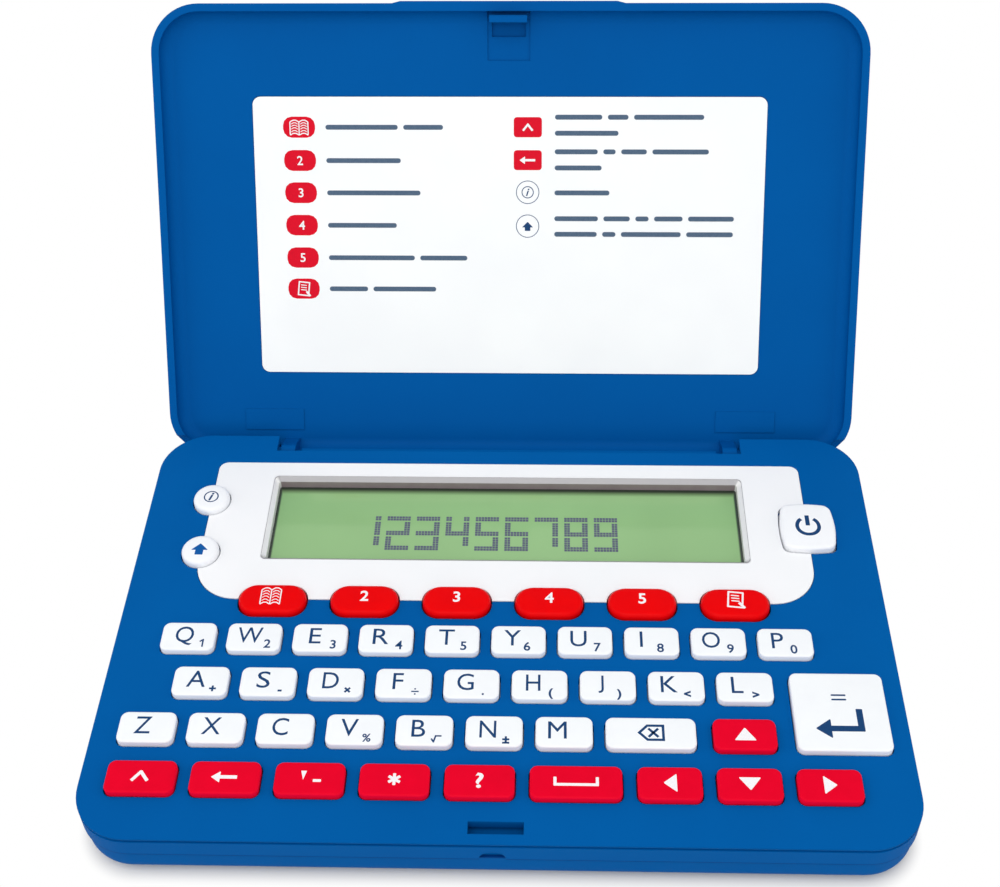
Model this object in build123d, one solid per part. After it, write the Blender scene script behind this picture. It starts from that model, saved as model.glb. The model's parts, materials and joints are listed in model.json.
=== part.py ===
from build123d import *
import math
import os
from collections import namedtuple

# Pocket electronic dictionary: a keyboard base with a display and a lid hinged at the rear.
# Millimetres. X runs to the right, Y to the hinge, Z up. The origin is the middle of the flat
# underside. The lid is made shut and then swung to its stop, where the model rests.

# Case
width = 138.0                 # over both halves of the base, and over the lid
depth = 90.6
corner_r = 9.5
deck_z = 11.0                 # keyboard deck above the underside
parting_drop = 4.5            # deck to the parting line
wall = 1.6
deck_t = 1.8
floor_t = 1.5
lower_inset = 0.4             # the lower half stands in from the upper one
bottom_edge_r = 3.4
inner_slope = 2.2             # sloped corner inside it
tongue_t = 0.6                # tongue of the lower half inside the upper one
tongue_h = 0.9
tongue_fit = 0.05
groove_lip = 0.25             # deck edge above the shadow groove
groove_w = 0.65
groove_depth = 0.5
notch_r = 2.2                 # half-round pry notch over the parting line
notch_x = -0.5
notch_depth = 0.8

# Hinge
axis_inset = 2.3              # hinge axis in from the rear edge
axis_drop = 2.2               # and below the deck
open_angle = 120.0
knuckle_r = 1.5
knuckle_x = 44.4              # middle of each knuckle arm
knuckle_w = 2.9
knuckle_gap = 0.3             # ahead of the arm
knuckle_outer_gap = 0.55      # each side of it in its slot
knuckle_inner_gap = 1.5
pin_r = 1.0
pin_length = 3.8
pin_fit = 0.05
recess_depth = 3.1            # rear recess between the two ears
recess_drop = 6.8             # floor of that recess below the deck
recess_bevel = 0.35           # drop of the deck's sloped edge along it

# Lid
lid_gap = 0.3                 # between the shut lid's rim and the deck
lid_recess = 2.8
lid_cove_r = 2.2              # inside corner round the recess
lid_panel_t = 1.8
lid_rim = 1.5
lid_edge_r = 2.4
lip_half = 22.3               # thumb lip along the free edge
lip_proud = 0.4
lip_h = 1.6
lip_ramp = 1.6
card_w = 100.4
card_d = 55.2
card_r = 1.6
card_t = 0.4
card_pocket = 0.25
card_fit = 0.1
rest_x = 48.0                 # low pads in the lid beside the knuckles
rest_y = 37.6
rest_w = 12.0
rest_d = 4.4
rest_proud = 0.15

# Latch
slot_w = 9.0                  # slot in the deck
slot_d = 2.2
slot_inset = 3.0              # middle of the slot in from the front edge
hook_w = 7.2
hook_t = 1.2
hook_reach = 2.2              # below the deck
barb = 0.2
catch_floor_drop = 2.9        # floor of the closed box under the slot, below the deck
catch_t = 0.5
catch_back = 0.8              # room behind the slot in that box
catch_rib = 0.2               # rib that the hook's bead slips under
catch_rib_drop = 0.85
catch_rib_h = 0.4
pad_w = 8.2                   # sunk field of the latch in the lid
pad_d = 8.4
pad_sunk = 0.25
pocket_w = 6.5
pocket_d = 2.7
pocket_sunk = 0.8

# Display
fascia_side = 11.85           # case side to the white plate
fascia_back = 7.6             # rear edge to the white plate
fascia_d = 34.2
fascia_t = 1.1
fascia_proud = 0.1
fascia_fit = 0.1
fascia_rear_r = 1.8
fascia_front_r = 8.0
well_side = 11.35             # white left at the sides of the display well
well_back = 3.5
well_d = 21.3
well_depth = 2.28             # deck to the display glass
well_r = 0.9
bezel_bevel = 0.8
bezel_land = 0.1
bezel_flange = 1.2
bezel_fit = 0.05
lcd_margin = 2.1              # display module past the bezel opening
lcd_t = 2.0

# Keys
key_gap = 0.2                 # round each cap in its opening
key_flange = 0.5              # past the opening
key_flange_t = 0.6
key_seat = 0.05               # flange below the underside of the deck
key_proud = 1.2
small_proud = 1.4
key_r = 1.3
letter_rows = ("qwertyuiop", "asdfghjkl", "zxcvbnm")
row_indents = (13.25, 17.05, 9.5)   # case side to the middle of a row's first key
row_end = 19.0                # last key of the row of ten to the right side
key_space = 2.15              # between letter keys
row_space = 3.45
row_front = 10.9              # front edge to the middle of the front row
function_row = 8.85           # row of ten to the function keys
red_names = ("control", "echo", "accent", "star", "help")
red_extra = 1.9               # wider than a letter key
arrow_extra = 0.95
wide_extra = 5.55             # delete and space
front_row_indent = 4.6
front_row_space = 2.45
enter_side = 3.35             # enter key to the right side
enter_space = 2.9             # and to the letters
function_count = 6
function_side = 6.75          # plate edge to the first function key's share of it
function_space = 4.4
function_d = 6.75
function_r = 3.0
function_ahead = 0.55         # middle of these keys ahead of the plate's edge
round_key_d = 7.0
round_key_drops = (10.4, 23.5)      # below the rear edge of the white plate
power_w = 10.3
power_d = 11.3
power_r = 1.2
power_bulge = 0.45
power_drop = 16.5

# Inside
board_t = 1.0
board_inset = 2.6
board_gap = 0.4               # round bosses and hinge walls
mat_t = 0.6
mat_inset = 3.6
mat_arm_gap = 5.1             # arms of the mat beside the display well
mat_margin = 1.9              # mat past its last keys
dome_w = 5.0                  # tapered plunger under each key
dome_d = 3.2
dome_taper = 20.0
dome_gap = 0.05
boss_r = 2.1
boss_split_z = 5.0            # where the bosses of the two halves meet
screw_r = 0.95
screw_hole_r = 1.1
screw_pilot_r = 1.0
screw_head_r = 1.75
screw_head_h = 1.1
screw_head_z = 0.9
screw_tip_gap = 0.8
lower_boss_r = 2.9
screw_inset = 6.4             # from the sides
screw_back = 7.8
post_r = 1.4
post_front = 5.8

# Battery
door_w = 46.0
door_t = 1.3
door_margin = 0.6             # door past the cells
door_top_z = 3.0
door_gap = 0.2
rail_w = 0.9
rail_t = 0.5
rail_z = 0.7
grip_count = 3
grip_w = 14.0
grip_pitch = 1.6
grip_depth = 0.35
grip_inset = 6.2
cell_r = 10.0
cell_t = 3.2
cell_rim = 0.9                # step of the small pole
cell_space = 3.2
cell_fit = 0.2
holder_margin = 1.4
holder_top_z = 5.2
contact_w = 3.6
contact_t = 0.3
contact_dimple_r = 1.2
contact_touch = 0.05

# Worked out from the values above
parting_z = deck_z - parting_drop
ceiling_z = deck_z - deck_t
rear_y = depth / 2
front_y = -depth / 2
axis_y = rear_y - axis_inset
axis_z = deck_z - axis_drop
recess_y = rear_y - recess_depth
recess_z = deck_z - recess_drop
recess_half = knuckle_x + knuckle_w / 2 + knuckle_outer_gap
slot_inner_x = knuckle_x - knuckle_w / 2 - knuckle_inner_gap
slot_front_y = axis_y - knuckle_r - knuckle_gap
hinge_block_x = recess_half + pin_length + wall
rim_z = deck_z + lid_gap
roof_z = rim_z + lid_recess
lid_top_z = roof_z + lid_panel_t
slot_y = front_y + slot_inset
fascia_top_z = deck_z + fascia_proud
glass_z = deck_z - well_depth
board_top_z = glass_z - lcd_t
flange_top_z = ceiling_z - key_seat
flange_z = flange_top_z - key_flange_t
fascia_w = width - 2 * fascia_side
fascia_rear_y = rear_y - fascia_back
fascia_y = fascia_rear_y - fascia_d / 2
well_w = fascia_w - 2 * well_side
well_y = fascia_rear_y - well_back - well_d / 2
lcd_w = well_w - 2 * (bezel_land + bezel_bevel) + 2 * lcd_margin
lcd_d = well_d - 2 * (bezel_land + bezel_bevel) + 2 * lcd_margin
key_pitch = (width - row_indents[0] - row_end) / (len(letter_rows[0]) - 1)
key_w = key_pitch - key_space
function_y = fascia_rear_y - fascia_d - function_ahead
first_row_y = function_y - function_row
front_row_y = front_y + row_front
row_pitch = (first_row_y - front_row_y) / len(letter_rows)
key_d = row_pitch - row_space
cell_z = door_t + door_gap
cell_x = cell_r + cell_space / 2
cell_y = recess_y - wall - holder_margin - cell_r
door_front_y = cell_y - cell_r - door_margin

Key = namedtuple("Key", "x y width depth corner proud bulge")
HINGE = Axis((0, axis_y, axis_z), (1, 0, 0))


def plate(w, d, r, z0, z1, x=0.0, y=0.0):
    return extrude(Pos(x, y, z0) * RectangleRounded(w, d, r), z1 - z0)


def block(x0, x1, y0, y1, z0, z1):
    centre = Pos((x0 + x1) / 2, (y0 + y1) / 2, (z0 + z1) / 2)
    return centre * Box(x1 - x0, y1 - y0, z1 - z0)


def upright(r, z0, z1, x, y):
    return Pos(x, y, z0) * Cylinder(r, z1 - z0, align=(Align.CENTER, Align.CENTER, Align.MIN))


def crosswise(r, x0, x1, y, z):
    rod = Rot(0, 90, 0) * Cylinder(r, x1 - x0)
    return Pos((x0 + x1) / 2, y, z) * rod


def both_sides(shape):
    return shape + mirror(shape, about=Plane.YZ)


def letter_keys():
    keys = {}
    for row, names in enumerate(letter_rows):
        for column, name in enumerate(names):
            x = row_indents[row] - width / 2 + column * key_pitch
            y = first_row_y - row * row_pitch
            keys["key_" + name] = Key(x, y, key_w, key_d, key_r, key_proud, 0)
    return keys


def front_row_keys():
    # laid side by side from the left
    widths = {name: key_w + red_extra for name in red_names}
    widths["space"] = key_w + wide_extra
    for name in ("left", "down", "right"):
        widths[name] = key_w + arrow_extra
    keys = {}
    edge = front_row_indent - width / 2
    for name, w in widths.items():
        keys["key_" + name] = Key(edge + w / 2, front_row_y, w, key_d, key_r, key_proud, 0)
        edge += w + front_row_space
    return keys


def large_keys(letters, front_row):
    # delete after the last letter, up over down, and enter beside the letters
    last = letters["key_m"]
    wide = key_w + wide_extra
    delete_x = last.x + key_w / 2 + key_space + wide / 2
    down = front_row["key_down"]
    left = letters["key_l"].x + key_w / 2 + enter_space
    right = width / 2 - enter_side
    middle_y = (letters["key_l"].y + last.y) / 2
    enter_d = row_pitch + key_d
    return {
        "key_delete": Key(delete_x, last.y, wide, key_d, key_r, key_proud, 0),
        "key_up": Key(down.x, last.y, down.width, key_d, key_r, key_proud, 0),
        "key_enter": Key((left + right) / 2, middle_y, right - left, enter_d, key_r, key_proud, 0),
    }


def display_keys():
    # over the edges of the white plate
    keys = {}
    pitch = (fascia_w - 2 * function_side) / function_count
    for column in range(function_count):
        x = (column - (function_count - 1) / 2) * pitch
        keys["key_function_%d" % (column + 1)] = Key(
            x, function_y, pitch - function_space, function_d, function_r, key_proud, 0)
    for name, drop in zip(("info", "shift"), round_key_drops):
        keys["key_" + name] = Key(-fascia_w / 2, fascia_rear_y - drop, round_key_d, round_key_d,
                                  round_key_d / 2, small_proud, 0)
    keys["key_power"] = Key(fascia_w / 2, fascia_rear_y - power_drop, power_w, power_d, power_r,
                            small_proud, power_bulge)
    return keys


def key_layout():
    letters = letter_keys()
    front_row = front_row_keys()
    return {**letters, **front_row, **large_keys(letters, front_row), **display_keys()}


def screw_places():
    # both rear corners, the free spots beside the rows, and between the display and the keys
    x = width / 2 - screw_inset
    rear = rear_y - screw_back
    ahead_of_display = (function_y + function_d / 2 + well_y - lcd_d / 2) / 2
    beside_rows = [(-x, first_row_y - row_pitch), (x, first_row_y), (x, front_row_y)]
    return [(-x, rear), (x, rear), (0, ahead_of_display)] + beside_rows


def post_places():
    return [(x, y) for x in (-width / 4, width / 4) for y in (front_y + post_front, first_row_y)]


def key_outline(key, grow=0.0):
    half_w = key.width / 2 + grow
    half_d = key.depth / 2 + grow
    if key.corner * 2 >= key.width:
        return Circle(half_w)
    if not key.bulge:
        return RectangleRounded(2 * half_w, 2 * half_d, key.corner + grow)
    flat = key.bulge
    corners = [(-half_w + flat, -half_d + flat), (half_w - flat, -half_d + flat),
               (half_w - flat, half_d - flat), (-half_w + flat, half_d - flat)]
    middles = [(0, -half_d), (half_w, 0), (0, half_d), (-half_w, 0)]
    sides = [ThreePointArc(corners[i], middles[i], corners[(i + 1) % 4]) for i in range(4)]
    outline = make_face(Curve() + sides)
    return fillet(outline.vertices(), key.corner + grow)


def key_openings(keys, z0, z1):
    return [extrude(Pos(k.x, k.y, z0) * key_outline(k, key_gap), z1 - z0) for k in keys.values()]


def key_cap(key):
    top_z = deck_z + key.proud
    cap = extrude(Pos(0, 0, flange_top_z) * key_outline(key), top_z - flange_top_z)
    reach = 2 * (key_gap + key_flange)
    flange = Pos(0, 0, flange_z + key_flange_t / 2) * Box(key.width + reach, key.depth + reach, key_flange_t)
    return Pos(key.x, key.y, 0) * (cap + flange)


def hinge_walls(z0, z1):
    # material kept round the rear recess and the knuckle slots
    middle = block(-recess_half, recess_half, recess_y - wall, rear_y, z0, z1)
    slot_wall = block(slot_inner_x - wall, hinge_block_x, slot_front_y - wall, rear_y, z0, z1)
    return middle + both_sides(slot_wall)


def hinge_recess():
    open_rear = block(-recess_half, recess_half, recess_y, depth, recess_z, deck_z)
    slot = block(slot_inner_x, recess_half, slot_front_y, depth, parting_z, deck_z)
    slope = Polygon((slot_front_y, deck_z), (recess_y, deck_z - recess_bevel), (recess_y, deck_z),
                    align=None)
    return open_rear + both_sides(slot) + extrude(Plane.YZ * slope, slot_inner_x, both=True)


def latch_box():
    # closed box that keeps dust out of the slot for the lid's hook
    front = slot_y - slot_d / 2
    back = slot_y + slot_d / 2 + catch_back
    floor_z = deck_z - catch_floor_drop
    half = slot_w / 2 + catch_t
    box = block(-half, half, front_y + wall, back + catch_t, floor_z - catch_t, ceiling_z)
    box -= block(-slot_w / 2, slot_w / 2, front, back, floor_z, ceiling_z)
    rib_z = deck_z - catch_rib_drop
    return box + block(-slot_w / 2, slot_w / 2, front, front + catch_rib, rib_z - catch_rib_h, rib_z)


def fascia_outline(grow):
    # square plate with small corners at the hinge and large ones at the keys
    sheet = Rectangle(fascia_w + 2 * grow, fascia_d + 2 * grow)
    sheet = fillet(sheet.vertices().group_by(Axis.Y)[-1], fascia_rear_r + grow)
    return fillet(sheet.vertices().group_by(Axis.Y)[0], fascia_front_r + grow)


def top_case(keys):
    body = plate(width, depth, corner_r, parting_z, deck_z)
    groove_z = deck_z - groove_lip - groove_w
    ring = plate(width + wall, depth + wall, corner_r, groove_z, groove_z + groove_w)
    ring -= plate(width - 2 * groove_depth, depth - 2 * groove_depth, corner_r - groove_depth,
                  groove_z, groove_z + groove_w)
    body -= ring
    space = plate(width - 2 * wall, depth - 2 * wall, corner_r - wall, parting_z, ceiling_z)
    rebate = wall - tongue_t - tongue_fit
    space += plate(width - 2 * rebate, depth - 2 * rebate, corner_r - rebate,
                   parting_z, parting_z + tongue_h + 2 * tongue_fit)
    body -= space - hinge_walls(parting_z, ceiling_z)
    for x, y in screw_places():
        body += upright(boss_r, boss_split_z, ceiling_z, x, y)
    for x, y in screw_places():
        body -= upright(screw_pilot_r, boss_split_z, ceiling_z, x, y)
    body -= hinge_recess()
    bore = crosswise(pin_r + pin_fit, recess_half, recess_half + pin_length, axis_y, axis_z)
    body -= both_sides(bore)
    seat_z = fascia_top_z - fascia_t
    body -= extrude(Pos(0, fascia_y, seat_z) * fascia_outline(fascia_fit), deck_z - seat_z)
    reach = 2 * (bezel_flange + fascia_fit)
    body -= plate(well_w + reach, well_d + reach, well_r, ceiling_z, seat_z, 0, well_y)
    body -= key_openings(keys, ceiling_z, deck_z)
    body -= block(-slot_w / 2, slot_w / 2, slot_y - slot_d / 2, slot_y + slot_d / 2, ceiling_z, deck_z)
    body += latch_box()
    notch = Rot(90, 0, 0) * Cylinder(notch_r, 2 * notch_depth)
    return body - Pos(notch_x, front_y, parting_z) * notch


def lower_body(inset, raised, z1):
    # the lower half's rounded outside, stepped in evenly by raised
    off = inset + raised
    shape = plate(width - 2 * off, depth - 2 * off, corner_r - off, raised, z1)
    return fillet(shape.edges().group_by(Axis.Z)[0], bottom_edge_r - raised)


def door_space(half_w, y0, z_top, skin):
    # the part of the lower half's skin that the battery door takes
    shape = block(-half_w, half_w, y0, rear_y, 0, z_top) & lower_body(lower_inset, 0, parting_z)
    return shape - lower_body(lower_inset, skin, parting_z)


def rails(half_w, y0, y1, z0, z1, reach):
    return both_sides(block(half_w - reach, half_w + reach, y0, y1, z0, z1))


def bottom_case():
    body = lower_body(lower_inset, 0, parting_z)
    inner = lower_inset + wall
    space = plate(width - 2 * inner, depth - 2 * inner, corner_r - inner, floor_t, parting_z)
    space = chamfer(space.edges().group_by(Axis.Z)[0], inner_slope)
    body -= space - hinge_walls(floor_t, parting_z)
    tongue_off = wall - tongue_t
    tongue = plate(width - 2 * tongue_off, depth - 2 * tongue_off, corner_r - tongue_off,
                   parting_z - tongue_h, parting_z + tongue_h)
    tongue -= plate(width - 2 * wall, depth - 2 * wall, corner_r - wall,
                    parting_z - tongue_h, parting_z + tongue_h)
    reach = hinge_block_x + tongue_fit
    body += tongue - block(-reach, reach, slot_front_y - wall - tongue_fit, rear_y, parting_z, deck_z)
    body -= hinge_recess()
    half = door_w / 2 + rail_w + 2 * door_gap + wall
    body += block(-half, half, cell_y - cell_r - holder_margin, recess_y - wall, floor_t, holder_top_z)
    body -= door_space(door_w / 2 + door_gap, door_front_y - door_gap, door_top_z + door_gap,
                       door_t + door_gap)
    body -= rails(door_w / 2, door_front_y - door_gap, rear_y, rail_z - door_gap,
                  door_t + door_gap, rail_w + door_gap)
    body -= both_sides(upright(cell_r + cell_fit, floor_t, holder_top_z, cell_x, cell_y))
    seat_z = screw_head_z + screw_head_h
    for x, y in screw_places():
        body += upright(lower_boss_r, floor_t, boss_split_z, x, y)
        body -= upright(screw_head_r + tongue_fit, 0, seat_z, x, y)
        body -= upright(screw_hole_r, seat_z, boss_split_z, x, y)
    for x, y in post_places():
        body += upright(post_r, floor_t, board_top_z - board_t, x, y)
    return body


def battery_door():
    body = door_space(door_w / 2, door_front_y, door_top_z, door_t)
    strips = rails(door_w / 2, door_front_y, rear_y, rail_z, rail_z + rail_t, rail_w)
    body += strips & lower_body(lower_inset, 0, parting_z)
    for i in range(grip_count):
        y = recess_y - grip_inset - i * grip_pitch
        body -= Pos(0, y, 0) * Rot(0, 90, 0) * Cylinder(grip_depth, grip_w)
    return body


def coin_cell():
    can = upright(cell_r, cell_z + cell_rim, cell_z + cell_t, 0, 0)
    return can + upright(cell_r - cell_rim, cell_z, cell_z + cell_rim, 0, 0)


def battery_contact():
    length = 2 * (cell_r + holder_margin - cell_fit)
    strip = plate(contact_w, length, contact_w / 4, holder_top_z, holder_top_z + contact_t)
    return strip + upright(contact_dimple_r, cell_z + cell_t + contact_touch, holder_top_z, 0, 0)


def case_screw():
    seat_z = screw_head_z + screw_head_h
    head = upright(screw_head_r, screw_head_z, seat_z, 0, 0)
    return head + upright(screw_r, seat_z, ceiling_z - screw_tip_gap, 0, 0)


def circuit_board():
    z0 = board_top_z - board_t
    board = plate(width - 2 * board_inset, depth - 2 * board_inset, corner_r - board_inset, z0, board_top_z)
    reach = hinge_block_x + board_gap
    board -= block(-reach, reach, slot_front_y - wall - board_gap, rear_y, z0, board_top_z)
    for x, y in screw_places():
        board -= upright(boss_r + board_gap, z0, board_top_z, x, y)
    return board


def keypad_mat(keys):
    top_z = board_top_z + mat_t
    edge_x = width / 2 - mat_inset
    rear = function_y + function_d / 2 + mat_margin
    arm_rear = fascia_rear_y - round_key_drops[0] + round_key_d / 2 + mat_margin
    mat = block(-edge_x, edge_x, front_y + mat_inset, rear, board_top_z, top_z)
    mat += both_sides(block(well_w / 2 + mat_arm_gap, edge_x, rear, arm_rear, board_top_z, top_z))
    mat = fillet(mat.edges().filter_by(Axis.Z).group_by(Axis.Y)[0], corner_r - mat_inset)
    dome_h = flange_z - dome_gap - top_z
    dome = extrude(Pos(0, 0, top_z) * Rectangle(dome_w, dome_d), dome_h, taper=dome_taper)
    mat += [Pos(key.x, key.y, 0) * dome for key in keys.values()]
    for x, y in screw_places():
        mat -= upright(boss_r + board_gap, board_top_z, top_z, x, y)
    return mat


def lcd_panel():
    return plate(lcd_w, lcd_d, well_r, board_top_z, glass_z, 0, well_y)


def display_bezel():
    under_z = fascia_top_z - fascia_t
    ring = plate(well_w - 2 * bezel_fit, well_d - 2 * bezel_fit, well_r, glass_z, fascia_top_z, 0, well_y)
    reach = 2 * bezel_flange
    ring += plate(well_w + reach, well_d + reach, well_r, glass_z, under_z - bezel_fit, 0, well_y)
    edge = 2 * (bezel_land + bezel_bevel)
    ring -= plate(well_w - edge, well_d - edge, well_r / 2, glass_z, fascia_top_z, 0, well_y)
    inner_edges = ring.faces().sort_by(Axis.Z)[-1].inner_wires()[0].edges()
    return chamfer(inner_edges, bezel_bevel)


def display_fascia(keys):
    under_z = fascia_top_z - fascia_t
    sheet = extrude(Pos(0, fascia_y, under_z) * fascia_outline(0), fascia_t)
    sheet -= plate(well_w, well_d, well_r, under_z, fascia_top_z, 0, well_y)
    return sheet - key_openings(keys, under_z, fascia_top_z)


def ear_sweep():
    # room that the base's rear corners need in the lid as it swings to the stop
    corner = math.hypot(axis_inset + lid_gap, axis_drop + lid_gap)
    stop = block(recess_half, width, axis_y - corner, rear_y + lid_gap, 0, deck_z + lid_gap)
    sweep = crosswise(corner, recess_half, width, axis_y, axis_z)
    return both_sides(sweep + stop.rotate(HINGE, open_angle))


def knuckle_arm():
    x0 = knuckle_x - knuckle_w / 2
    x1 = knuckle_x + knuckle_w / 2
    arm = crosswise(knuckle_r, x0, x1, axis_y, axis_z)
    arm += block(x0, x1, axis_y - knuckle_r, axis_y + knuckle_r, axis_z, roof_z + pad_sunk)
    return arm + crosswise(pin_r, x1, x1 + pin_length, axis_y, axis_z)


def latch_hook():
    y0 = slot_y - hook_t / 2
    tip_z = deck_z - hook_reach
    blade = block(-hook_w / 2, hook_w / 2, y0, y0 + hook_t, tip_z, roof_z + pad_sunk)
    bead = Pos(0, y0, tip_z + hook_t / 2) * Rot(0, 90, 0) * Cylinder(barb, hook_w)
    return blade + bead


def thumb_lip():
    lip = Polygon((-lip_half, 0), (-lip_half + lip_ramp, -lip_proud), (lip_half - lip_ramp, -lip_proud),
                  (lip_half, 0), (lip_half, lid_rim / 2), (-lip_half, lid_rim / 2), align=None)
    return extrude(Pos(0, front_y, rim_z) * lip, lip_h)


def lid_shell():
    body = plate(width, depth, corner_r, rim_z, lid_top_z)
    body = fillet(body.edges().group_by(Axis.Z)[-1], lid_edge_r)
    space = plate(width - 2 * lid_rim, depth - 2 * lid_rim, corner_r - lid_rim, rim_z, roof_z)
    body -= fillet(space.edges().group_by(Axis.Z)[-1], lid_cove_r)
    body += both_sides(block(rest_x - rest_w / 2, rest_x + rest_w / 2, rest_y - rest_d / 2,
                             rest_y + rest_d / 2, roof_z - rest_proud, roof_z))
    body -= plate(card_w + 2 * card_fit, card_d + 2 * card_fit, card_r, roof_z, roof_z + card_pocket)
    pad_y = slot_y - hook_t / 2 + pad_d / 2
    body -= block(-pad_w / 2, pad_w / 2, slot_y, pad_y + pad_d / 2, roof_z, roof_z + pad_sunk)
    body -= block(-pad_w / 2, pad_w / 2, front_y + lid_rim, slot_y + lid_cove_r, rim_z, roof_z)
    pocket_y = slot_y + hook_t / 2
    body -= block(-pocket_w / 2, pocket_w / 2, pocket_y, pocket_y + pocket_d, roof_z, roof_z + pocket_sunk)
    body -= ear_sweep()
    body += both_sides(knuckle_arm())
    return body + latch_hook() + thumb_lip()


def lid_card():
    z1 = roof_z + card_pocket
    return plate(card_w, card_d, card_r, z1 - card_t, z1)


def opened(shape):
    return shape.rotate(HINGE, -open_angle)


def main():
    keys = key_layout()
    parts = {
        "top_case": top_case(keys),
        "bottom_case": bottom_case(),
        "display_fascia": display_fascia(keys),
        "display_bezel": display_bezel(),
        "lcd_panel": lcd_panel(),
        "circuit_board": circuit_board(),
        "keypad_mat": keypad_mat(keys),
        "battery_door": battery_door(),
        "coin_cells": Pos(-cell_x, cell_y, 0) * coin_cell() + Pos(cell_x, cell_y, 0) * coin_cell(),
        "battery_contacts": (Pos(-cell_x, cell_y, 0) * battery_contact()
                             + Pos(cell_x, cell_y, 0) * battery_contact()),
        "case_screws": Part() + [Pos(x, y, 0) * case_screw() for x, y in screw_places()],
        "lid_shell": opened(lid_shell()),
        "lid_card": opened(lid_card()),
    }
    for name, key in keys.items():
        parts[name] = key_cap(key)
    os.makedirs("parts", exist_ok=True)
    for name, shape in parts.items():
        export_step(shape, "parts/%s.step" % name)


main()
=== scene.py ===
import json
import math

import bmesh
import bpy
from mathutils import Matrix, Vector


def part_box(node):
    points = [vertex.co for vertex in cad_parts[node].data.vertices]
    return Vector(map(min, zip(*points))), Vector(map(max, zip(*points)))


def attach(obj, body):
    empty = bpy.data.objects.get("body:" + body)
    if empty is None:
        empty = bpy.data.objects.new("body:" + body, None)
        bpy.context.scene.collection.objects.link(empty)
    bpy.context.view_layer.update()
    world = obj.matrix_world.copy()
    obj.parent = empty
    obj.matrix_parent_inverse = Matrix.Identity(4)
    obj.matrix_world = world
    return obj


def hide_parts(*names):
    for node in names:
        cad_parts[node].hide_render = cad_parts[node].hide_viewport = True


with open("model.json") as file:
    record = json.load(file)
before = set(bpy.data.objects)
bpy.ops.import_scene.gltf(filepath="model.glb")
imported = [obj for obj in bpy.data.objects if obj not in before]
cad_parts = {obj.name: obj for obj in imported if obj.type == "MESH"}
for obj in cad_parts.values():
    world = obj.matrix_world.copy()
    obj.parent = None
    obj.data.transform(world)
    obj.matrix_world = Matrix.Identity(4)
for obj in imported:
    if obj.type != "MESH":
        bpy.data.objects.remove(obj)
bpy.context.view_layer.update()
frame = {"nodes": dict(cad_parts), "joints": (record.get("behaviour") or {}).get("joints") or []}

nodes = frame["nodes"]
mm = 0.001
smoothAngle = math.radians(35)        # sharper edges than this stay sharp
letters = "qwertyuiopasdfghjklzxcvbnm"
keyNodes = [name for name in nodes if name.startswith("key_")]
redKeys = ("space", "up", "left", "down", "right", "control", "echo", "accent", "star", "help")
print("frame loaded,", len(nodes), "nodes")


# Camera and lights

def makeCamera():
    look = {
        "place": (8.10, -170.50, 230.26),      # mm
        "turn": (46.9005, 0.8437, 1.3903),     # degrees
        "lens": 54.81,
        "shift": (-0.0066, -0.0683),
    }
    data = bpy.data.cameras.new("camera")
    data.lens = look["lens"]
    data.sensor_width = 36
    data.shift_x, data.shift_y = look["shift"]
    camera = bpy.data.objects.new("camera", data)
    camera.location = Vector(look["place"]) * mm
    camera.rotation_euler = [math.radians(angle) for angle in look["turn"]]
    bpy.context.collection.objects.link(camera)
    bpy.context.scene.camera = camera


def makeLights():
    look = {
        "soft box above": {"place": (-60, -330, 620), "size": 520, "watts": 1.68},
        "soft box left": {"place": (-520, -80, 320), "size": 420, "watts": 0.56},
        "soft box right": {"place": (520, -60, 300), "size": 420, "watts": 0.46},
        "soft box front": {"place": (40, -640, 120), "size": 420, "watts": 0.36},
    }
    target = Vector((0, 10, 20)) * mm
    for name, lamp in look.items():
        data = bpy.data.lights.new(name, "AREA")
        data.size = lamp["size"] * mm
        data.energy = lamp["watts"]
        light = bpy.data.objects.new(name, data)
        light.location = Vector(lamp["place"]) * mm
        light.rotation_euler = (target - light.location).to_track_quat("-Z", "Y").to_euler()
        bpy.context.collection.objects.link(light)


# Shader nodes

class Wire:        # one output of a node; sums on it add Math nodes
    def __init__(self, finish, socket):
        self.finish = finish
        self.socket = socket

    def maths(self, operation, first, second):
        return self.finish.node("ShaderNodeMath", {"operation": operation}, {0: first, 1: second})

    def __add__(self, other):
        return self.maths("ADD", self, other)

    def __sub__(self, other):
        return self.maths("SUBTRACT", self, other)

    def __rsub__(self, other):
        return self.maths("SUBTRACT", other, self)

    def __mul__(self, other):
        return self.maths("MULTIPLY", self, other)

    def __abs__(self):
        return self.maths("ABSOLUTE", self, 0)

    def larger(self, other):        # the larger of the two
        return self.maths("MAXIMUM", self, other)

    __radd__ = __add__
    __rmul__ = __mul__


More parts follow.
